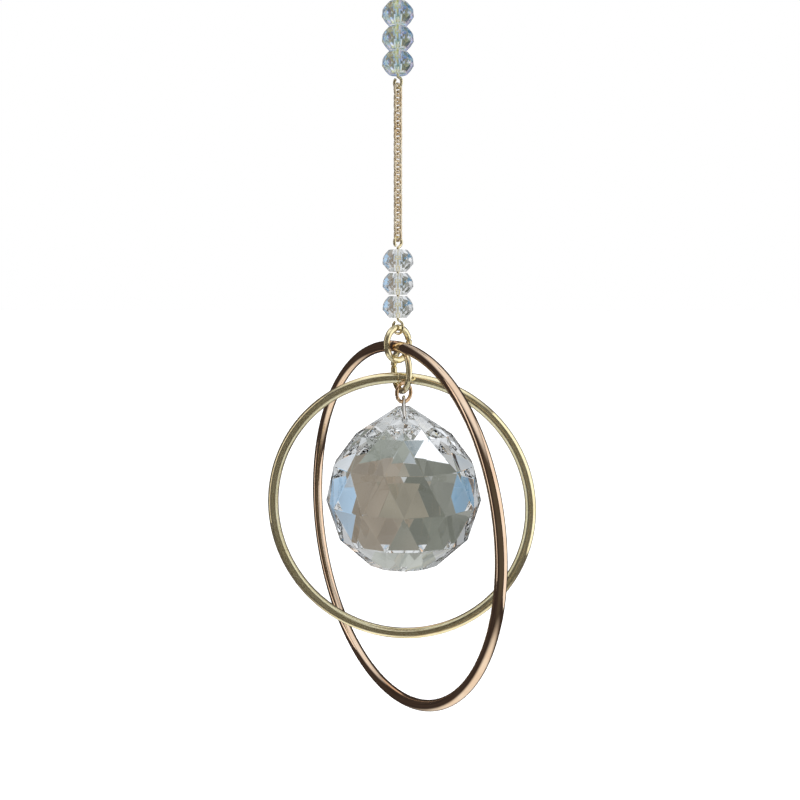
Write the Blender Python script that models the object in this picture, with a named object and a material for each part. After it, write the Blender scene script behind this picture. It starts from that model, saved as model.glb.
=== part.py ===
"""A hanging crystal prism ornament.

From the top down: a hanging ring, a wire with three cut glass beads, a fine chain, a second wire
with three beads, and a jump ring that carries a large wire ring. A larger jump ring beside it
carries a smaller wire ring and, on its own little link and wire bail, a faceted crystal ball.

Lengths are in metres, +Z is up, and the origin is the middle of the hanging ring's hole.
A turn is in degrees about the vertical: at 0 a ring faces the front, -Y, and a positive turn
brings its +X side to the front.
"""

import math
from dataclasses import dataclass

import bmesh
import bpy
import numpy as np
from mathutils import Vector

# Clearances between pieces that touch in use.
CLEARANCE = 0.0003
CHAIN_CLEARANCE = 0.0002

# Hanging ring and the two bead wires.
HANGING_RING_OUTER = 0.0120
HANGING_RING_WIRE = 0.0012
BEAD_WIRE = 0.0006
RING_EYE_OUTER = 0.0034
CHAIN_EYE_OUTER = 0.0027
EYE_OPENING = 35.0

# Cut glass beads.
BEAD_WIDTH = 0.0066
BEAD_HEIGHT = 0.0046
BEAD_FLAT = 0.0039
BEAD_GIRDLE = 0.0012
BEAD_HOLE = 0.0011
BEAD_FACETS = 10
BEADS_ON_A_WIRE = 3

# Chain.
CHAIN_LINKS = 20
LINK_LENGTH = 0.00297
LINK_WIDTH = 0.0023
LINK_WIRE = 0.0006

# The two wire rings round the crystal.
LARGE_RING_OUTER = 0.0800
SMALL_RING_OUTER = 0.0600
RING_WIRE = 0.0024

# Jump rings: one holds the large ring, one the small ring, one the crystal's bail.
UPPER_JUMP_RING_OUTER = 0.0084
LOWER_JUMP_RING_OUTER = 0.0103
JUMP_RING_WIRE = 0.0014
CRYSTAL_RING_OUTER = 0.0049
CRYSTAL_RING_WIRE = 0.0008

# Crystal ball with its drilled tip, and the wire bail through it.
BALL_DIAMETER = 0.0340
BALL_TIP_RISE = 0.0023
BALL_TIP_FLAT = 0.0030
BALL_FACETS = 12
BALL_ROWS = 5
BALL_ROW_ANGLE = 28.5
TIP_HOLE = 0.0013
TIP_HOLE_DROP = 0.0023
TIP_HEADROOM = 0.0006
BAIL_WIRE = 0.0007
BAIL_SIDE_ROOM = 0.0006
BAIL_BEND = 0.0004
BAIL_TOP_BEND = 0.0012

# How each piece hangs, as turns in degrees.
RING_EYE_TURN = 90.0
CHAIN_TURN = 45.0
JUMP_RING_EYE_TURN = 40.0
UPPER_JUMP_RING_TURN = -47.0
LARGE_RING_TURN = 59.3
LOWER_JUMP_RING_TURN = 68.0
SMALL_RING_TURN = 8.5
CRYSTAL_RING_TURN = -42.0
BAIL_TURN = 88.0
BALL_TURN = 0.0

# Two pieces share each of the larger jump rings; this share of the space is left of the middle.
LARGE_RING_SHARE = 0.52
SMALL_RING_SHARE = 0.46

# Facets of the round wires: along the wire, and round it.
LARGE_RING_STEPS = 72
SMALL_RING_STEPS = 64
HANGING_RING_STEPS = 40
JUMP_RING_STEPS = 30
CRYSTAL_RING_STEPS = 20
WIRE_SIDES = 8
FINE_WIRE_SIDES = 6
EYE_STEP = 24.0
LINK_ARC_STEPS = 5
BEND_STEPS = 3
DRILL_SIDES = 12

# Steps in which a hanging place is narrowed down, to well under a micrometre.
SEARCH_STEPS = 20


@dataclass
class Ring:
    """A round ring of wire that stands upright: centreline radius, wire radius, turn, centre."""

    radius: float
    wire: float
    turn: float
    centre: Vector = None

    @property
    def top(self):
        return self.centre.z + self.radius

    @property
    def bottom(self):
        return self.centre.z - self.radius


def ring_of(outer, wire, turn):
    """A ring from its outside diameter and the diameter of its wire."""
    return Ring((outer - wire) / 2, wire / 2, turn)


def sideways(turn):
    """The level direction in which a piece with this turn lies."""
    angle = math.radians(turn)
    return Vector((math.cos(angle), -math.sin(angle), 0.0))


def centreline(ring, steps=360):
    """Points along the middle of a ring's wire."""
    angle = np.linspace(0.0, 2 * math.pi, steps, endpoint=False)[:, None]
    level = np.array(sideways(ring.turn))
    upright = np.array([0.0, 0.0, 1.0])
    return np.array(ring.centre) + ring.radius * (np.cos(angle) * level + np.sin(angle) * upright)


def space_between(one, other):
    """The least space between the surfaces of two rings."""
    apart = centreline(one)[:, None, :] - centreline(other)[None, :, :]
    return math.sqrt((apart ** 2).sum(axis=2).min()) - one.wire - other.wire


def hang(ring, carrier, offset=0.0, clearance=CLEARANCE):
    """Hang a ring in another, so that their wires are the clearance apart where they cross."""
    spot = carrier.centre + offset * sideways(carrier.turn)
    too_low = carrier.bottom
    too_high = carrier.bottom + min(carrier.radius, ring.radius)
    for _ in range(SEARCH_STEPS):
        crossing = (too_low + too_high) / 2
        ring.centre = Vector((spot.x, spot.y, crossing - ring.radius))
        if space_between(carrier, ring) < clearance:
            too_low = crossing
        else:
            too_high = crossing
    return ring


def collection(name):
    """A new collection in the scene."""
    made = bpy.data.collections.new(name)
    bpy.context.scene.collection.children.link(made)
    return made


def material(name, colour, roughness, metallic=0.0, transmission=0.0):
    """A Principled BSDF with plain values."""
    made = bpy.data.materials.new(name)
    made.use_nodes = True
    made.diffuse_color = (*colour, 1.0)
    shader = made.node_tree.nodes["Principled BSDF"]
    shader.inputs["Base Color"].default_value = (*colour, 1.0)
    shader.inputs["Roughness"].default_value = roughness
    shader.inputs["Metallic"].default_value = metallic
    shader.inputs["Transmission Weight"].default_value = transmission
    return made


def place(name, data, finish):
    """Add an object to the ornament with one material."""
    data.materials.clear()
    data.materials.append(finish)
    made = bpy.data.objects.new(name, data)
    ORNAMENT.objects.link(made)
    return made


def torus(name, ring, steps, sides, finish):
    """A closed ring of round wire."""
    bpy.ops.mesh.primitive_torus_add(
        major_radius=ring.radius,
        minor_radius=ring.wire,
        major_segments=steps,
        minor_segments=sides,
        location=ring.centre,
        rotation=(math.radians(90.0), 0.0, math.radians(-ring.turn)),
    )
    made = bpy.context.object
    made.name = name
    made.data.name = name
    made.data.materials.append(finish)
    made.data.shade_smooth()
    for owner in made.users_collection:
        owner.objects.unlink(made)
    ORNAMENT.objects.link(made)
    return made


def wire(name, points, diameter, finish, closed=False):
    """A fine round wire through the points, with filled ends unless it is closed."""
    curve = bpy.data.curves.new(name, "CURVE")
    curve.dimensions = "3D"
    curve.bevel_depth = diameter / 2
    curve.bevel_resolution = (FINE_WIRE_SIDES - 4) // 2
    curve.use_fill_caps = True
    spline = curve.splines.new("POLY")
    spline.points.add(len(points) - 1)
    for point, position in zip(spline.points, points):
        point.co = (*position, 1.0)
    spline.use_cyclic_u = closed
    spline.use_smooth = True
    return place(name, curve, finish)


def hull(name, points, finish):
    """A cut piece of glass: the flat facets that span the given corners."""
    mesh = bpy.data.meshes.new(name)
    shape = bmesh.new()
    for point in points:
        shape.verts.new(point)
    bmesh.ops.convex_hull(shape, input=shape.verts)
    loose = [vertex for vertex in shape.verts if not vertex.link_faces]
    bmesh.ops.delete(shape, geom=loose, context="VERTS")
    bmesh.ops.recalc_face_normals(shape, faces=shape.faces)
    shape.to_mesh(mesh)
    shape.free()
    return place(name, mesh, finish)


def corners(count, radius, height, turned):
    """Corners of a level polygon, turned by half a side where asked."""
    start = 0.5 if turned else 0.0
    angles = [2 * math.pi * (step + start) / count for step in range(count)]
    return [Vector((radius * math.cos(a), radius * math.sin(a), height)) for a in angles]


def drill(name, diameter, length, location, rotation=(0.0, 0.0, 0.0)):
    """A round cutter, kept out of the ornament."""
    bpy.ops.mesh.primitive_cylinder_add(
        vertices=DRILL_SIDES, radius=diameter / 2, depth=length, location=location, rotation=rotation
    )
    cutter = bpy.context.object
    cutter.name = name
    cutter.hide_render = True
    cutter.display_type = "WIRE"
    for owner in cutter.users_collection:
        owner.objects.unlink(cutter)
    CUTTERS.objects.link(cutter)
    return cutter


def bore(piece, cutter):
    """Cut the cutter's shape out of a piece."""
    cut = piece.modifiers.new("bore", "BOOLEAN")
    cut.operation = "DIFFERENCE"
    cut.solver = "EXACT"
    cut.object = cutter


def eye_path(ring, upward):
    """An open eye bent from the end of an upright wire, from the wire to the eye's free end.

    The eye stands over the wire's end when upward, and hangs under it otherwise.
    """
    level = sideways(ring.turn)
    side = 1.0 if upward else -1.0
    path = [ring.centre - side * Vector((0.0, 0.0, ring.radius + ring.wire))]
    angle = EYE_STEP
    while angle <= 360.0 - EYE_OPENING:
        a = math.radians(angle)
        path.append(
            ring.centre
            + ring.radius * math.sin(a) * level
            - side * Vector((0.0, 0.0, ring.radius * math.cos(a)))
        )
        angle += EYE_STEP
    return path


def bead_wire(name, upper_eye, lower_eye):
    """One wire with an open eye at both ends."""
    path = eye_path(upper_eye, True)[::-1] + eye_path(lower_eye, False)
    return wire(name, path, BEAD_WIRE, GOLD)


def bead(name, top, finish):
    """A cut bead: two flat ends, and slanting facets that meet at a zigzag girdle."""
    middle = top - BEAD_HEIGHT / 2
    points = (
        corners(BEAD_FACETS, BEAD_FLAT / 2, BEAD_HEIGHT / 2, False)
        + corners(BEAD_FACETS, BEAD_WIDTH / 2, BEAD_GIRDLE / 2, True)
        + corners(BEAD_FACETS, BEAD_WIDTH / 2, -BEAD_GIRDLE / 2, False)
        + corners(BEAD_FACETS, BEAD_FLAT / 2, -BEAD_HEIGHT / 2, True)
    )
    made = hull(name, points, finish)
    made.location = (0.0, 0.0, middle)
    bore(made, drill(name + "_drill", BEAD_HOLE, 2 * BEAD_HEIGHT, made.location))
    return made


def string_of_beads(prefix, top, finish):
    """A row of beads below the given height; returns the height of its lower end."""
    for number in range(1, BEADS_ON_A_WIRE + 1):
        bead(f"{prefix}_bead_{number}", top, finish)
        top -= BEAD_HEIGHT + CLEARANCE
    return top + CLEARANCE


def link_path(turn, top):
    """A long link's centreline, with round ends; top is the height of its upper end."""
    half_width = (LINK_WIDTH - LINK_WIRE) / 2
    half_straight = (LINK_LENGTH - LINK_WIDTH) / 2
    middle = top - half_straight - half_width
    level = sideways(turn)
    path = []
    for end in (1.0, -1.0):
        for step in range(LINK_ARC_STEPS + 1):
            a = math.pi * step / LINK_ARC_STEPS
            across = end * half_width * math.cos(a)
            height = middle + end * (half_straight + half_width * math.sin(a))
            path.append(across * level + Vector((0.0, 0.0, height)))
    return path


def chain(upper_eye):
    """The links from an eye down; returns the last link's lower end as a ring."""
    round_end = (LINK_WIDTH - LINK_WIRE) / 2
    pitch = LINK_LENGTH - 2 * LINK_WIRE - CHAIN_CLEARANCE
    first = hang(Ring(round_end, LINK_WIRE / 2, -CHAIN_TURN), upper_eye, 0.0, CHAIN_CLEARANCE)
    top = first.top
    for number in range(CHAIN_LINKS):
        turn = -CHAIN_TURN if number % 2 == 0 else CHAIN_TURN
        link = link_path(turn, top - number * pitch)
        wire(f"chain_link_{number + 1:02d}", link, LINK_WIRE, PALE_GOLD, closed=True)
    lowest = top - (CHAIN_LINKS - 1) * pitch - (LINK_LENGTH - LINK_WIRE)
    return Ring(round_end, LINK_WIRE / 2, turn, Vector((0.0, 0.0, lowest + round_end)))


def rounded(points, radii):
    """A closed outline through the corners, each rounded by its own radius."""
    path = []
    for index, corner in enumerate(points):
        before = (points[index - 1] - corner).normalized()
        after = (points[(index + 1) % len(points)] - corner).normalized()
        half = before.angle(after) / 2
        inward = (before + after).normalized()
        centre = corner + inward * radii[index] / math.sin(half)
        first = (before * math.cos(half) - inward).normalized()
        last = (after * math.cos(half) - inward).normalized()
        for step in range(BEND_STEPS + 1):
            path.append(centre + radii[index] * first.slerp(last, step / BEND_STEPS))
    return path


def cap_radius(height):
    """How far the crystal's sloping cap reaches at a height above the ball's middle."""
    radius = BALL_DIAMETER / 2
    polar = math.radians(BALL_ROWS * BALL_ROW_ANGLE)
    share = (radius + BALL_TIP_RISE - height) / (radius + BALL_TIP_RISE + radius * math.cos(polar))
    return BALL_TIP_FLAT / 2 + share * (radius * math.sin(polar) - BALL_TIP_FLAT / 2)


def crystal_ball(middle):
    """The ball: rows of triangular facets from the lowest point up, and a flat-topped cap."""
    radius = BALL_DIAMETER / 2
    points = [Vector((0.0, 0.0, -radius))]
    for row in range(1, BALL_ROWS + 1):
        polar = math.radians(row * BALL_ROW_ANGLE)
        turned = (BALL_ROWS - row) % 2 == 1
        points += corners(BALL_FACETS, radius * math.sin(polar), -radius * math.cos(polar), turned)
    points += corners(BALL_FACETS, BALL_TIP_FLAT / 2, radius + BALL_TIP_RISE, False)
    ball = hull("crystal_ball", points, CRYSTAL)
    ball.location = middle
    ball.rotation_euler = (0.0, 0.0, math.radians(BALL_TURN))
    hole = middle + Vector((0.0, 0.0, radius + BALL_TIP_RISE - TIP_HOLE_DROP))
    lying = (math.radians(90.0), 0.0, math.radians(90.0 - BAIL_TURN))
    bore(ball, drill("tip_drill", TIP_HOLE, BALL_DIAMETER, hole, lying))
    return hole


def crystal_bail(hole, top):
    """A three-cornered wire: through the tip's hole, and up both sides to its top bend."""
    reach = cap_radius(BALL_DIAMETER / 2 + BALL_TIP_RISE - TIP_HOLE_DROP) + BAIL_SIDE_ROOM
    level = sideways(BAIL_TURN)
    rise = top - hole.z
    # The top corner lies above the bend by as much as the bend cuts off.
    for _ in range(SEARCH_STEPS):
        half = math.atan2(reach, rise)
        rise = top - hole.z + BAIL_TOP_BEND * (1.0 / math.sin(half) - 1.0)
    points = [
        hole - reach * level,
        hole + reach * level,
        hole + Vector((0.0, 0.0, rise)),
    ]
    path = rounded(points, [BAIL_BEND, BAIL_BEND, BAIL_TOP_BEND])
    wire("crystal_bail", path, BAIL_WIRE, SILVER, closed=True)


def hanging_end():
    """The hanging ring and the beaded wire below it; returns that wire's lower eye."""
    ring = ring_of(HANGING_RING_OUTER, HANGING_RING_WIRE, 0.0)
    ring.centre = Vector((0.0, 0.0, 0.0))
    torus("hanging_ring", ring, HANGING_RING_STEPS, WIRE_SIDES, GOLD)
    upper = hang(ring_of(RING_EYE_OUTER, BEAD_WIRE, RING_EYE_TURN), ring)
    ends = string_of_beads("upper", upper.bottom - upper.wire - CLEARANCE, COATED_GLASS)
    lower = ring_of(CHAIN_EYE_OUTER, BEAD_WIRE, CHAIN_TURN)
    lower.centre = Vector((0.0, 0.0, ends - CLEARANCE - lower.wire - lower.radius))
    bead_wire("upper_bead_wire", upper, lower)
    return lower


def lower_beads(last_link):
    """The second beaded wire, hung from the chain; returns its lower eye."""
    eye = ring_of(CHAIN_EYE_OUTER, BEAD_WIRE, -last_link.turn)
    upper = hang(eye, last_link, 0.0, CHAIN_CLEARANCE)
    ends = string_of_beads("lower", upper.bottom - upper.wire - CLEARANCE, CLEAR_GLASS)
    lower = ring_of(RING_EYE_OUTER, BEAD_WIRE, JUMP_RING_EYE_TURN)
    lower.centre = Vector((0.0, 0.0, ends - CLEARANCE - lower.wire - lower.radius))
    bead_wire("lower_bead_wire", upper, lower)
    return lower


def rings_and_crystal(eye):
    """Everything below the beads: the jump rings, the two wire rings and the crystal."""
    upper = hang(ring_of(UPPER_JUMP_RING_OUTER, JUMP_RING_WIRE, UPPER_JUMP_RING_TURN), eye)
    torus("upper_jump_ring", upper, JUMP_RING_STEPS, WIRE_SIDES, GOLD)

    room = (RING_WIRE + JUMP_RING_WIRE) / 2 + CLEARANCE
    large = ring_of(LARGE_RING_OUTER, RING_WIRE, LARGE_RING_TURN)
    hang(large, upper, -LARGE_RING_SHARE * room)
    torus("large_ring", large, LARGE_RING_STEPS, WIRE_SIDES, ROSE_GOLD)
    lower = ring_of(LOWER_JUMP_RING_OUTER, JUMP_RING_WIRE, LOWER_JUMP_RING_TURN)
    hang(lower, upper, (1.0 - LARGE_RING_SHARE) * room)
    torus("lower_jump_ring", lower, JUMP_RING_STEPS, WIRE_SIDES, GOLD)

    room = (RING_WIRE + CRYSTAL_RING_WIRE + JUMP_RING_WIRE) / 2 + CLEARANCE
    small = ring_of(SMALL_RING_OUTER, RING_WIRE, SMALL_RING_TURN)
    hang(small, lower, -SMALL_RING_SHARE * room)
    torus("small_ring", small, SMALL_RING_STEPS, WIRE_SIDES, GOLD)
    link = ring_of(CRYSTAL_RING_OUTER, CRYSTAL_RING_WIRE, CRYSTAL_RING_TURN)
    hang(link, lower, (1.0 - SMALL_RING_SHARE) * room)
    torus("crystal_jump_ring", link, CRYSTAL_RING_STEPS, WIRE_SIDES, BRONZE)

    bend = hang(Ring(BAIL_TOP_BEND, BAIL_WIRE / 2, BAIL_TURN), link)
    tip = link.bottom - link.wire - TIP_HEADROOM
    middle = Vector((link.centre.x, link.centre.y, tip - BALL_TIP_RISE - BALL_DIAMETER / 2))
    hole = crystal_ball(middle)
    crystal_bail(hole, bend.top)


for old in list(bpy.data.objects):
    bpy.data.objects.remove(old, do_unlink=True)

ORNAMENT = collection("crystal_prism_ornament")
CUTTERS = collection("cutters")

GOLD = material("yellow_gold", (0.86, 0.70, 0.36), 0.16, metallic=1.0)
PALE_GOLD = material("pale_gold", (0.84, 0.74, 0.52), 0.2, metallic=1.0)
ROSE_GOLD = material("rose_gold", (0.80, 0.52, 0.38), 0.12, metallic=1.0)
BRONZE = material("brown_gold", (0.70, 0.50, 0.30), 0.25, metallic=1.0)
SILVER = material("silver_wire", (0.80, 0.79, 0.77), 0.2, metallic=1.0)
CRYSTAL = material("crystal", (0.97, 0.98, 1.0), 0.0, transmission=1.0)
COATED_GLASS = material("coated_bead_glass", (0.72, 0.80, 0.95), 0.02, transmission=1.0)
CLEAR_GLASS = material("clear_bead_glass", (0.94, 0.96, 1.0), 0.02, transmission=1.0)

rings_and_crystal(lower_beads(chain(hanging_end())))
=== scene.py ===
"""The hanging crystal ornament, dressed: fine wires, cut glass, plated finishes, studio light."""

import math

import bmesh
import bpy
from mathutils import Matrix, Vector


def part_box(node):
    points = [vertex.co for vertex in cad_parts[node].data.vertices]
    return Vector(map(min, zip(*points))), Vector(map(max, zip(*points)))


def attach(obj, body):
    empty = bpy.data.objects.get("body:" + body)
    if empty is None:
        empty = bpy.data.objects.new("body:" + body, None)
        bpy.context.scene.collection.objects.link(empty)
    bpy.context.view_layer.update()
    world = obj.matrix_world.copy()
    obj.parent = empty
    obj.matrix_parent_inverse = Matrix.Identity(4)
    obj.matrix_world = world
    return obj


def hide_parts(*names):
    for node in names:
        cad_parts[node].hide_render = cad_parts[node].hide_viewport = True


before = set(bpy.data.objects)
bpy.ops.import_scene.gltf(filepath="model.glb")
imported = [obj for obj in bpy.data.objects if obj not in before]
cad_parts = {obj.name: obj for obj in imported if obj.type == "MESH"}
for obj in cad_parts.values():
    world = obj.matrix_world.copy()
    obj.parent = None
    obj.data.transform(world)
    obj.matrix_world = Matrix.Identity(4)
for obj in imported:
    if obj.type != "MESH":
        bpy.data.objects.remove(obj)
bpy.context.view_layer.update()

# Sizes in metres and turns in degrees, as in the part's source.
RING_WIRE = 0.0024
JUMP_RING_WIRE = 0.0014
BEAD_WIRE = 0.0006
LINK_WIRE = 0.0006
LINK_LENGTH = 0.00297
LINK_WIDTH = 0.0023
BEAD_WIDTH = 0.0066
BEAD_HEIGHT = 0.0046
BEAD_FLAT = 0.0039
BEAD_HOLE = 0.0011
BALL_DIAMETER = 0.0340
BALL_TIP_RISE = 0.0023
BALL_TIP_FLAT = 0.0030
BALL_FACETS = 12
BALL_ROWS = 5
BALL_ROW_ANGLE = 28.5
TIP_HOLE = 0.0013
TIP_HOLE_DROP = 0.0023
BAIL_WIRE = 0.0007
BAIL_BEND = 0.0004
BAIL_TOP_BEND = 0.0012
BAIL_TURN = 88.0
RING_EYE_OUTER = 0.0034
CHAIN_EYE_OUTER = 0.0027
HANGING_EYE_TURN = 90.0
CHAIN_TURN = 45.0
JUMP_RING_EYE_TURN = 40.0
CHAIN_LINKS = 20
BEADS_IN_A_STRING = 3
BEAD_FACETS = 10

# Fine detail that only this script adds.
CUT_GAP = 0.00005
CUT_STEP = 0.00004
CUT_ROUNDING = 0.72
SOLDER_SWELL = 1.12
WELD_GROOVE = (
    (0.00016, 1.0),
    (0.00006, 0.985),
    (0.0, 0.95),
    (-0.00006, 0.985),
    (-0.00016, 1.0),
)
BEAD_EDGE = 0.00004
BALL_EDGE = 0.00007
DRILL_REACH = 0.03
SMOOTH_BELOW = 50.0

# How many sides a round wire has, and how many steps go round a ring or a bend.
RING_SIDES = 28
JUMP_RING_SIDES = 20
LINK_SIDES = 12
BEAD_WIRE_SIDES = 14
BAIL_SIDES = 16
DRILL_SIDES = 32
RING_STEPS = 240
JUMP_RING_STEPS = 90
LINK_ARC_STEPS = 10
BAIL_BEND_STEPS = 12

# Name, outside diameter, wire, turn, and where round the ring its joint is.
WELDED_RINGS = {
    "large_ring": (0.0800, RING_WIRE, 59.3, 90.0),
    "small_ring": (0.0600, RING_WIRE, 8.5, 90.0),
}
CUT_RINGS = {
    "hanging_ring": (0.0120, 0.0012, 0.0, 25.0),
    "upper_jump_ring": (0.0084, JUMP_RING_WIRE, -47.0, 12.0),
    "lower_jump_ring": (0.0103, JUMP_RING_WIRE, 68.0, 172.0),
    "crystal_jump_ring": (0.0049, 0.0008, -42.0, 200.0),
}


def sideways(turn):
    """The level direction in which a piece with this turn lies."""
    angle = math.radians(turn)
    return Vector((math.cos(angle), -math.sin(angle), 0.0))


def middle(node):
    """The middle of a node's box."""
    low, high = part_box(node)
    return (low + high) / 2


def dress(name, mesh, nodes, finish):
    """Add a piece that stands for the given nodes."""
    mesh.materials.append(finish)
    piece = bpy.data.objects.new(name, mesh)
    bpy.context.scene.collection.objects.link(piece)
    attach(piece, "root")
    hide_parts(*nodes)
    return piece


def sweep(name, path, widths, closed, sides):
    """A round wire along a path; widths are the wire's radius at each point."""
    shape = bmesh.new()
    count = len(path)
    rows = []
    across = None
    for index, point in enumerate(path):
        before = path[index - 1] if closed or index else point
        after = path[(index + 1) % count] if closed or index < count - 1 else point
        along = (after - before).normalized()
        if across is None:
            across = along.orthogonal()
        across = (across - along * across.dot(along)).normalized()
        other = along.cross(across)
        row = []
        for side in range(sides):
            a = 2 * math.pi * side / sides
            out = math.cos(a) * across + math.sin(a) * other
            row.append(shape.verts.new(point + widths[index] * out))
        rows.append(row)
    for index in range(count if closed else count - 1):
        row, following = rows[index], rows[(index + 1) % count]
        for side in range(sides):
            nxt = (side + 1) % sides
            shape.faces.new((row[side], row[nxt], following[nxt], following[side]))
    if not closed:
        shape.faces.new(rows[0][::-1])
        shape.faces.new(rows[-1])
    bmesh.ops.recalc_face_normals(shape, faces=shape.faces)
    for face in shape.faces:
        face.smooth = True
    for edge in shape.edges:
        edge.smooth = edge.calc_face_angle(0.0) < math.radians(SMOOTH_BELOW)
    mesh = bpy.data.meshes.new(name)
    shape.to_mesh(mesh)
    shape.free()
    return mesh


def with_cut_ends(path, radius):
    """The path and widths of a wire whose two ends are cut and slightly rounded over."""
    points = list(path)
    widths = [radius] * len(points)
    for end, inner in ((0, 1), (-1, -2)):
        tip = points[end]
        back = (points[inner] - tip).normalized()
        points[end] = tip + back * radius * 0.3
        if end == 0:
            points.insert(0, tip)
            widths.insert(0, radius * CUT_ROUNDING)
        else:
            points.append(tip)
            widths.append(radius * CUT_ROUNDING)
    return points, widths


def welded_ring(node, outer, wire, turn, joint, finish, slot):
    """A closed ring with the fine groove that is left round its soldered joint."""
    centre, level = middle(node), sideways(turn)
    radius = (outer - wire) / 2
    up = Vector((0.0, 0.0, 1.0))
    start = math.radians(joint)
    angles = [(start + 2 * math.pi * step / RING_STEPS, 1.0) for step in range(1, RING_STEPS)]
    for offset, share in WELD_GROOVE:
        angles.append((start - offset / radius + 2 * math.pi, share))
    path = [centre + radius * (math.cos(a) * level + math.sin(a) * up) for a, _ in angles]
    widths = [wire / 2 * share for _, share in angles]
    dress(node + "_wire", sweep(node, path, widths, True, RING_SIDES), [node], finish)


def cut_ring(node, outer, wire, turn, joint, finish, slot):
    """A jump ring bent shut: its two cut ends meet with a hair's gap and a slight step."""
    centre, level = middle(node), sideways(turn)
    out = level.cross(Vector((0.0, 0.0, 1.0)))
    radius = (outer - wire) / 2
    up = Vector((0.0, 0.0, 1.0))
    gap = CUT_GAP / radius
    path = []
    for step in range(JUMP_RING_STEPS + 1):
        turned = gap + (2 * math.pi - 2 * gap) * step / JUMP_RING_STEPS
        a = math.radians(joint) + turned
        shift = CUT_STEP * (turned / math.pi - 1.0)
        path.append(centre + radius * (math.cos(a) * level + math.sin(a) * up) + shift * out)
    points, widths = with_cut_ends(path, wire / 2)
    dress(node + "_wire", sweep(node, points, widths, False, JUMP_RING_SIDES), [node], finish)


def chain_link(number, finish):
    """A long link, with the small bead of solder that closes it."""
    node = f"chain_link_{number:02d}"
    centre = middle(node)
    level = sideways(-CHAIN_TURN if number % 2 else CHAIN_TURN)
    half_width = (LINK_WIDTH - LINK_WIRE) / 2
    half_straight = (LINK_LENGTH - LINK_WIDTH) / 2
    path, widths = [], []
    for end in (1.0, -1.0):
        for step in range(LINK_ARC_STEPS + 1):
            a = math.pi * step / LINK_ARC_STEPS
            height = end * (half_straight + half_width * math.sin(a))
            path.append(centre + end * half_width * math.cos(a) * level + Vector((0.0, 0.0, height)))
            widths.append(LINK_WIRE / 2)
        for share in (0.3, 0.5, 0.7):
            height = end * half_straight * (1.0 - 2.0 * share)
            path.append(centre - end * half_width * level + Vector((0.0, 0.0, height)))
            solder = SOLDER_SWELL if end > 0 and share == 0.5 else 1.0
            widths.append(LINK_WIRE / 2 * solder)
    mesh = sweep(node, path, widths, True, LINK_SIDES)
    dress(f"{node}_wire", mesh, [node], finish)


def eye(centre, radius, turn, upward):
    """Points round an open eye at the end of an upright wire, from the wire to the free end."""
    level = sideways(turn)
    side = 1.0 if upward else -1.0
    path = []
    for beyond in (0.0005, 0.0002):
        path.append(centre - side * Vector((0.0, 0.0, radius + beyond)))
    for step in range(2, 41):
        a = math.radians(8.1 * step)
        drop = side * Vector((0.0, 0.0, radius * math.cos(a)))
        path.append(centre + radius * math.sin(a) * level - drop)
    return path


def bead_wire(node, upper_outer, upper_turn, lower_outer, lower_turn, finish):
    """The wire through a string of beads, with an open eye at both ends."""
    low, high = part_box(node)
    spare = math.cos(math.radians(12.0))
    upper_radius = (upper_outer - BEAD_WIRE) / 2
    lower_radius = (lower_outer - BEAD_WIRE) / 2
    upper = Vector((0.0, 0.0, high.z - BEAD_WIRE / 2 - upper_radius * spare))
    lower = Vector((0.0, 0.0, low.z + BEAD_WIRE / 2 + lower_radius * spare))
    path = eye(upper, upper_radius, upper_turn, True)[::-1]
    path += eye(lower, lower_radius, lower_turn, False)
    points, widths = with_cut_ends(path, BEAD_WIRE / 2)
    mesh = sweep(node, points, widths, False, BEAD_WIRE_SIDES)
    dress(node + "_shaped", mesh, [node], finish)


def polygon(count, radius, height, turned):
    """Corners of a level polygon, turned by half a side where asked."""
    start = 0.5 if turned else 0.0
    angles = [2 * math.pi * (step + start) / count for step in range(count)]
    return [Vector((radius * math.cos(a), radius * math.sin(a), height)) for a in angles]


def cut_glass(name, node, points, place, edge, hole, finish):
    """Cut glass: flat facets between the corners, edges just taken off, and a drilled hole.

    The hole is (diameter, middle, direction), measured from the place.
    """
    shape = bmesh.new()
    for point in points:
        shape.verts.new(point)
    bmesh.ops.convex_hull(shape, input=shape.verts)
    loose = [vertex for vertex in shape.verts if not vertex.link_faces]
    bmesh.ops.delete(shape, geom=loose, context="VERTS")
    bmesh.ops.dissolve_limit(
        shape, angle_limit=math.radians(0.5), verts=shape.verts, edges=shape.edges
    )
    bmesh.ops.bevel(
        shape, geom=list(shape.edges), offset=edge, segments=1, profile=0.5, affect="EDGES"
    )
    bmesh.ops.recalc_face_normals(shape, faces=shape.faces)
    solid = bpy.data.meshes.new(name)
    shape.to_mesh(solid)
    shape.free()
    blank = bpy.data.objects.new(name, solid)
    bpy.context.scene.collection.objects.link(blank)

    diameter, hole_middle, direction = hole
    ends = [hole_middle - direction * DRILL_REACH, hole_middle + direction * DRILL_REACH]
    drill_mesh = sweep(name, ends, [diameter / 2] * 2, False, DRILL_SIDES)
    drill = bpy.data.objects.new(name + "_drill", drill_mesh)
    bpy.context.scene.collection.objects.link(drill)
    cut = blank.modifiers.new("hole", "BOOLEAN")
    cut.operation = "DIFFERENCE"
    cut.solver = "EXACT"
    cut.object = drill
    evaluated = blank.evaluated_get(bpy.context.evaluated_depsgraph_get())
    made = bpy.data.meshes.new_from_object(evaluated)
    made.name = name
    made.transform(blank.matrix_world)
    made.materials.clear()
    for face in made.polygons:
        face.use_smooth = False
    bpy.data.objects.remove(blank)
    bpy.data.objects.remove(drill)
    piece = dress(name, made, [node], finish)
    piece.location = place
    return piece


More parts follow.
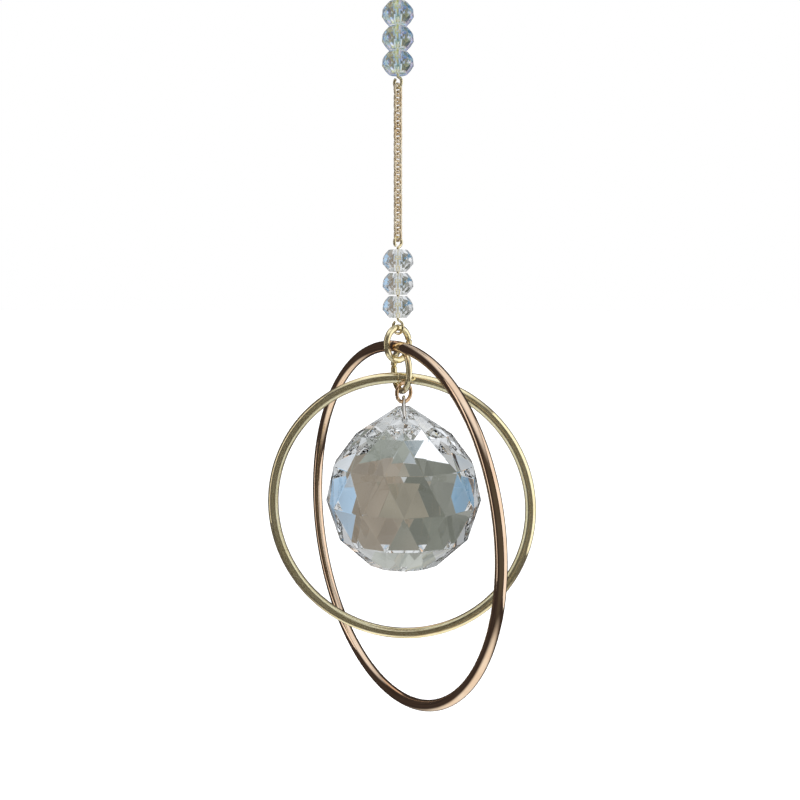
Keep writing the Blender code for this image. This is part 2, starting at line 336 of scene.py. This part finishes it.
def bead(node, finish):
    """A cut bead with three rows of facets between its flat ends."""
    half = BEAD_HEIGHT / 2
    points = []
    for side, turned in ((1.0, False), (-1.0, True)):
        points += polygon(BEAD_FACETS, BEAD_FLAT / 2, side * half, turned)
        points += polygon(BEAD_FACETS, BEAD_WIDTH / 2 * 0.84, side * half * 0.62, turned)
        points += polygon(BEAD_FACETS, BEAD_WIDTH / 2, side * 0.0006, not turned)
    hole = (BEAD_HOLE, Vector((0.0, 0.0, 0.0)), Vector((0.0, 0.0, 1.0)))
    cut_glass(node + "_cut", node, points, middle(node), BEAD_EDGE, hole, finish)


def crystal_ball(finish):
    """The ball: rows of triangular facets, and a sloping cap with a drilled, flat-topped tip."""
    radius = BALL_DIAMETER / 2
    points = [Vector((0.0, 0.0, -radius))]
    for row in range(1, BALL_ROWS + 1):
        polar = math.radians(row * BALL_ROW_ANGLE)
        turned = (BALL_ROWS - row) % 2 == 1
        points += polygon(BALL_FACETS, radius * math.sin(polar), -radius * math.cos(polar), turned)
    points += polygon(BALL_FACETS, BALL_TIP_FLAT / 2, radius + BALL_TIP_RISE, False)
    low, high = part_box("crystal_ball")
    place = Vector(((low.x + high.x) / 2, (low.y + high.y) / 2, low.z + radius))
    drop = Vector((0.0, 0.0, radius + BALL_TIP_RISE - TIP_HOLE_DROP))
    hole = (TIP_HOLE, drop, sideways(BAIL_TURN))
    cut_glass("crystal_ball_cut", "crystal_ball", points, place, BALL_EDGE, hole, finish)


def crystal_bail(finish):
    """The three-cornered wire: through the tip's hole, and up both sides to its top bend."""
    low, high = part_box("crystal_bail")
    level = sideways(BAIL_TURN)
    ball_low, ball_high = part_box("crystal_ball")
    hole = Vector(((ball_low.x + ball_high.x) / 2, (ball_low.y + ball_high.y) / 2, 0.0))
    hole.z = ball_high.z - TIP_HOLE_DROP
    reach = (high.y - low.y - BAIL_WIRE) / 2 / abs(level.y)
    top = high.z - BAIL_WIRE / 2
    rise = top - hole.z
    for _ in range(20):
        half = math.atan2(reach, rise)
        rise = top - hole.z + BAIL_TOP_BEND * (1.0 / math.sin(half) - 1.0)
    corners = [hole - reach * level, hole + reach * level, hole + Vector((0.0, 0.0, rise))]
    path = []
    for index, (corner, bend) in enumerate(zip(corners, (BAIL_BEND, BAIL_BEND, BAIL_TOP_BEND))):
        before = (corners[index - 1] - corner).normalized()
        after = (corners[(index + 1) % 3] - corner).normalized()
        opening = before.angle(after) / 2
        inward = (before + after).normalized()
        centre = corner + inward * bend / math.sin(opening)
        first = (before * math.cos(opening) - inward).normalized()
        last = (after * math.cos(opening) - inward).normalized()
        for step in range(BAIL_BEND_STEPS + 1):
            path.append(centre + bend * first.slerp(last, step / BAIL_BEND_STEPS).normalized())
    mesh = sweep("crystal_bail", path, [BAIL_WIRE / 2] * len(path), True, BAIL_SIDES)
    dress("crystal_bail_wire", mesh, ["crystal_bail"], finish)


def nodes_of(name):
    """A new material, its node tree and its shader."""
    made = bpy.data.materials.new(name)
    made.use_nodes = True
    tree = made.node_tree
    return made, tree, tree.nodes["Principled BSDF"]


def noise(tree, scale, detail, stretch=(1.0, 1.0, 1.0)):
    """Noise in metres of the object, stretched along an axis where asked."""
    place = tree.nodes.new("ShaderNodeTexCoord")
    mapping = tree.nodes.new("ShaderNodeMapping")
    mapping.inputs["Scale"].default_value = stretch
    texture = tree.nodes.new("ShaderNodeTexNoise")
    texture.inputs["Scale"].default_value = scale
    texture.inputs["Detail"].default_value = detail
    tree.links.new(place.outputs["Object"], mapping.inputs["Vector"])
    tree.links.new(mapping.outputs["Vector"], texture.inputs["Vector"])
    return texture.outputs["Fac"]


def spread(tree, value, low, high):
    """The value as a number between low and high."""
    node = tree.nodes.new("ShaderNodeMapRange")
    node.inputs["From Min"].default_value = 0.3
    node.inputs["From Max"].default_value = 0.7
    node.inputs["To Min"].default_value = low
    node.inputs["To Max"].default_value = high
    tree.links.new(value, node.inputs["Value"])
    return node.outputs["Result"]


def bump(tree, shader, value, strength, depth):
    """Slight waves in the surface."""
    node = tree.nodes.new("ShaderNodeBump")
    node.inputs["Strength"].default_value = strength
    node.inputs["Distance"].default_value = depth
    tree.links.new(value, node.inputs["Height"])
    tree.links.new(node.outputs["Normal"], shader.inputs["Normal"])


def plating(name, light, dark, smooth, rough, metal=1.0):
    """Plating: uneven tone and polish, and the faint waves of drawn wire.

    Metal is less than 1 where the real plating looks soft and light.
    """
    made, tree, shader = nodes_of(name)
    shader.inputs["Metallic"].default_value = metal
    mix = tree.nodes.new("ShaderNodeMix")
    mix.data_type = "RGBA"
    mix.inputs["A"].default_value = (*light, 1.0)
    mix.inputs["B"].default_value = (*dark, 1.0)
    tree.links.new(spread(tree, noise(tree, 260.0, 3.0), 0.0, 1.0), mix.inputs["Factor"])
    tree.links.new(mix.outputs["Result"], shader.inputs["Base Color"])
    tree.links.new(spread(tree, noise(tree, 900.0, 4.0), smooth, rough), shader.inputs["Roughness"])
    bump(tree, shader, noise(tree, 420.0, 3.0), 0.25, 0.00006)
    return made


def clear_glass(name, colour, ior, film=0.0, film_ior=1.33, tints=()):
    """Clear polished glass: plain values, and a trace of polishing waves on the facets.

    A coated glass has its tints too, patches of colour that run into one another.
    """
    made, tree, shader = nodes_of(name)
    shader.inputs["Base Color"].default_value = (*colour, 1.0)
    shader.inputs["Roughness"].default_value = 0.0
    shader.inputs["IOR"].default_value = ior
    shader.inputs["Transmission Weight"].default_value = 1.0
    shader.inputs["Thin Film Thickness"].default_value = film
    shader.inputs["Thin Film IOR"].default_value = film_ior
    bump(tree, shader, noise(tree, 500.0, 2.0), 0.02, 0.0001)
    if tints:
        ramp = tree.nodes.new("ShaderNodeValToRGB")
        for number, tint in enumerate(tints):
            share = 0.34 + 0.32 * number / (len(tints) - 1)
            if number < 2:
                stop = ramp.color_ramp.elements[number]
                stop.position = share
            else:
                stop = ramp.color_ramp.elements.new(share)
            stop.color = (*tint, 1.0)
        place = tree.nodes.new("ShaderNodeTexCoord")
        parts = tree.nodes.new("ShaderNodeSeparateXYZ")
        tree.links.new(place.outputs["Object"], parts.inputs["Vector"])
        shift = tree.nodes.new("ShaderNodeMath")
        shift.operation = "MULTIPLY_ADD"
        shift.inputs[1].default_value = 30.0
        tree.links.new(parts.outputs["X"], shift.inputs[0])
        tree.links.new(noise(tree, 330.0, 1.0), shift.inputs[2])
        tree.links.new(shift.outputs["Value"], ramp.inputs["Fac"])
        tree.links.new(ramp.outputs["Color"], shader.inputs["Base Color"])
    return made


yellow_gold = plating("yellow_gold_plating", (0.95, 0.87, 0.60), (0.87, 0.77, 0.48), 0.06, 0.13, metal=0.92)
pale_gold = plating("pale_gold_plating", (1.00, 0.92, 0.74), (0.78, 0.62, 0.40), 0.28, 0.42, metal=0.78)
rose_gold = plating("rose_gold_plating", (0.87, 0.69, 0.53), (0.80, 0.59, 0.43), 0.05, 0.11)
brown_gold = plating("brown_gold_plating", (0.78, 0.56, 0.36), (0.62, 0.42, 0.26), 0.12, 0.24)
silver = plating("bright_wire", (0.86, 0.85, 0.83), (0.72, 0.71, 0.70), 0.08, 0.16)
crystal = clear_glass("clear_crystal", (0.975, 0.985, 1.0), 1.55)
coated = clear_glass("coated_glass", (0.80, 0.88, 0.98), 1.75, film=380.0, film_ior=1.6, tints=(
    (0.66, 0.84, 1.00),
    (0.97, 0.97, 0.46),
    (0.86, 0.94, 1.00),
    (0.95, 0.80, 0.99),
    (0.34, 0.58, 1.00),
))
clear = clear_glass("clear_bead_glass", (0.99, 0.99, 1.0), 1.80)

for ring_name, sizes in WELDED_RINGS.items():
    if ring_name == "large_ring":
        welded_ring(ring_name, *sizes, rose_gold, "rose_gold")
    else:
        welded_ring(ring_name, *sizes, yellow_gold, "yellow_gold")
for ring_name, sizes in CUT_RINGS.items():
    if ring_name == "crystal_jump_ring":
        cut_ring(ring_name, *sizes, brown_gold, "brown_gold")
    else:
        cut_ring(ring_name, *sizes, yellow_gold, "yellow_gold")
for link_number in range(1, CHAIN_LINKS + 1):
    chain_link(link_number, pale_gold)
bead_wire(
    "upper_bead_wire", RING_EYE_OUTER, HANGING_EYE_TURN, CHAIN_EYE_OUTER, CHAIN_TURN, yellow_gold
)
bead_wire(
    "lower_bead_wire", CHAIN_EYE_OUTER, -CHAIN_TURN, RING_EYE_OUTER, JUMP_RING_EYE_TURN, yellow_gold
)
for bead_number in range(1, BEADS_IN_A_STRING + 1):
    bead(f"upper_bead_{bead_number}", coated)
    bead(f"lower_bead_{bead_number}", clear)
crystal_ball(crystal)
crystal_bail(silver)

# Camera: in front and a little above the rings' middle, looking slightly down.
camera_data = bpy.data.cameras.new("camera")
camera_data.sensor_width = 36.0
camera_data.lens = 41.87
camera = bpy.data.objects.new("camera", camera_data)
camera.location = (0.00075, -0.200, -0.06685)
camera.rotation_euler = (math.radians(83.36), 0.0, math.radians(0.09))
bpy.context.scene.collection.objects.link(camera)
bpy.context.scene.camera = camera

# A pale floor, well below the ornament.
FLOOR_HEIGHT = -0.32
floor_mesh = bpy.data.meshes.new("floor")
reach = 12.0
floor_corners = [(-reach, -reach, 0), (reach, -reach, 0), (reach, reach, 0), (-reach, reach, 0)]
floor_mesh.from_pydata(floor_corners, [], [(0, 1, 2, 3)])
floor = bpy.data.objects.new("floor", floor_mesh)
floor.location = (0.0, 0.0, FLOOR_HEIGHT)
bpy.context.scene.collection.objects.link(floor)
floor_finish, floor_tree, floor_shader = nodes_of("floor_white")
floor_shader.inputs["Base Color"].default_value = (0.93, 0.93, 0.93, 1.0)
floor_shader.inputs["Roughness"].default_value = 0.9
floor_mesh.materials.append(floor_finish)
floor.visible_glossy = False
floor.visible_transmission = False


def pointing(azimuth, elevation):
    """A direction: 0, 0 is straight behind the ornament, 90, 0 to its right."""
    a, e = math.radians(azimuth), math.radians(elevation)
    return Vector((math.sin(a) * math.cos(e), math.cos(a) * math.cos(e), math.sin(e)))


def softbox(name, azimuth, elevation, distance, size, strength, colour=(1.0, 1.0, 1.0)):
    """A soft light that faces the ornament's middle, seen in its surfaces and not by the camera."""
    data = bpy.data.lights.new(name, "AREA")
    data.shape = "RECTANGLE"
    data.size, data.size_y = size
    data.color = colour
    data.energy = strength * size[0] * size[1] * math.pi
    light = bpy.data.objects.new(name, data)
    away = pointing(azimuth, elevation)
    light.location = Vector((0.0, 0.0, -0.11)) + away * distance
    light.rotation_euler = away.to_track_quat("Z", "Y").to_euler()
    light.visible_camera = False
    light.visible_transmission = False
    bpy.context.scene.collection.objects.link(light)


softbox("right_light", 98.0, 5.0, 0.7, (0.95, 1.10), 1.12, (1.0, 0.99, 0.97))
softbox("left_strip", -100.0, 10.0, 0.7, (0.16, 0.80), 1.15, (1.0, 0.93, 0.86))

sun_data = bpy.data.lights.new("floor_light", "SUN")
sun_data.energy = 3.6
sun_data.angle = math.radians(40.0)
sun = bpy.data.objects.new("floor_light", sun_data)
sun.rotation_euler = (math.radians(8.0), math.radians(-6.0), 0.0)
sun.visible_glossy = False
sun.visible_transmission = False
bpy.context.scene.collection.objects.link(sun)

# The surroundings: plain white to the camera, one room in the metal and another in the glass.
# Much of the crystal's colour comes from the second one's soft cards, not from its material.
world = bpy.data.worlds.new("room")
world.use_nodes = True
bpy.context.scene.world = world
tree = world.node_tree
tree.nodes.clear()
output = tree.nodes.new("ShaderNodeOutputWorld")
choose = tree.nodes.new("ShaderNodeMixShader")
seen = tree.nodes.new("ShaderNodeLightPath")
white = tree.nodes.new("ShaderNodeBackground")
white.inputs["Color"].default_value = (1.0, 1.0, 1.0, 1.0)
room = tree.nodes.new("ShaderNodeBackground")
place = tree.nodes.new("ShaderNodeTexCoord")


def patched(dark, light, spots):
    """A room of uneven brightness with soft-edged patches laid over it one after the other.

    Each spot is azimuth, elevation, inner and outer angle in degrees, and a colour.
    """
    ramp = tree.nodes.new("ShaderNodeValToRGB")
    ramp.color_ramp.elements[0].position = 0.35
    ramp.color_ramp.elements[0].color = (*dark, 1.0)
    ramp.color_ramp.elements[1].position = 0.65
    ramp.color_ramp.elements[1].color = (*light, 1.0)
    tree.links.new(unevenness.outputs["Fac"], ramp.inputs["Fac"])
    colour_so_far = ramp.outputs["Color"]
    for azimuth, elevation, inner, outer, colour in spots:
        towards = tree.nodes.new("ShaderNodeVectorMath")
        towards.operation = "DOT_PRODUCT"
        towards.inputs[1].default_value = pointing(azimuth, elevation)
        tree.links.new(place.outputs["Generated"], towards.inputs[0])
        edge = tree.nodes.new("ShaderNodeMapRange")
        edge.interpolation_type = "SMOOTHSTEP"
        edge.inputs["From Min"].default_value = math.cos(math.radians(outer))
        edge.inputs["From Max"].default_value = math.cos(math.radians(inner))
        tree.links.new(towards.outputs["Value"], edge.inputs["Value"])
        mix = tree.nodes.new("ShaderNodeMix")
        mix.data_type = "RGBA"
        tree.links.new(edge.outputs["Result"], mix.inputs["Factor"])
        tree.links.new(colour_so_far, mix.inputs["A"])
        mix.inputs["B"].default_value = (*colour, 1.0)
        colour_so_far = mix.outputs["Result"]
    return colour_so_far


unevenness = tree.nodes.new("ShaderNodeTexNoise")
unevenness.inputs["Scale"].default_value = 5.0
unevenness.inputs["Detail"].default_value = 2.0
tree.links.new(place.outputs["Generated"], unevenness.inputs["Vector"])
mirrored = patched((0.035, 0.028, 0.026), (0.065, 0.052, 0.046), (
    (180.0, 0.0, 25.0, 55.0, (0.100, 0.090, 0.070)),
    (0.0, 90.0, 22.0, 54.0, (1.05, 1.05, 1.05)),
    (0.0, -90.0, 20.0, 50.0, (1.05, 1.02, 0.95)),
    (-18.0, 38.0, 8.0, 14.0, (0.80, 0.62, 0.50)),
))
refracted = patched((0.58, 0.60, 0.60), (0.93, 0.95, 0.97), (
    (0.0, 40.0, 16.0, 26.0, (0.40, 0.425, 0.385)),
    (26.0, -44.0, 18.0, 30.0, (0.27, 0.295, 0.25)),
    (-22.0, -44.0, 8.0, 16.0, (0.30, 0.36, 0.38)),
    (-22.0, 0.0, 26.0, 34.0, (0.175, 0.185, 0.15)),
    (23.0, -6.0, 23.0, 31.0, (0.31, 0.265, 0.205)),
    (-1.0, -9.0, 8.0, 15.0, (0.305, 0.28, 0.215)),
    (-33.0, -47.0, 11.0, 14.0, (1.50, 1.55, 1.60)),
    (-47.0, -13.0, 11.0, 15.0, (0.16, 0.33, 0.49)),
    (54.0, -4.0, 12.0, 24.0, (0.46, 0.68, 0.90)),
))
shade = tree.nodes.new("ShaderNodeTexNoise")
shade.inputs["Scale"].default_value = 16.0
shade.inputs["Detail"].default_value = 1.0
tree.links.new(place.outputs["Generated"], shade.inputs["Vector"])
steps = tree.nodes.new("ShaderNodeMapRange")
steps.inputs["From Min"].default_value = 0.35
steps.inputs["From Max"].default_value = 0.65
steps.inputs["To Min"].default_value = 0.80
steps.inputs["To Max"].default_value = 1.08
tree.links.new(shade.outputs["Fac"], steps.inputs["Value"])
uneven = tree.nodes.new("ShaderNodeVectorMath")
uneven.operation = "SCALE"
tree.links.new(refracted, uneven.inputs[0])
tree.links.new(steps.outputs["Result"], uneven.inputs["Scale"])
refracted = uneven.outputs["Vector"]
between = tree.nodes.new("ShaderNodeMix")
between.data_type = "RGBA"
tree.links.new(seen.outputs["Is Transmission Ray"], between.inputs["Factor"])
tree.links.new(mirrored, between.inputs["A"])
tree.links.new(refracted, between.inputs["B"])
tree.links.new(between.outputs["Result"], room.inputs["Color"])
tree.links.new(seen.outputs["Is Camera Ray"], choose.inputs["Fac"])
tree.links.new(room.outputs["Background"], choose.inputs[1])
tree.links.new(white.outputs["Background"], choose.inputs[2])
tree.links.new(choose.outputs["Shader"], output.inputs["Surface"])

# Light crosses a cut crystal many times before it gets out.
paths = bpy.context.scene.cycles
paths.max_bounces = 32
paths.transmission_bounces = 32
paths.glossy_bounces = 16
bpy.context.scene.view_settings.view_transform = "Standard"
bpy.context.scene.view_settings.look = "None"
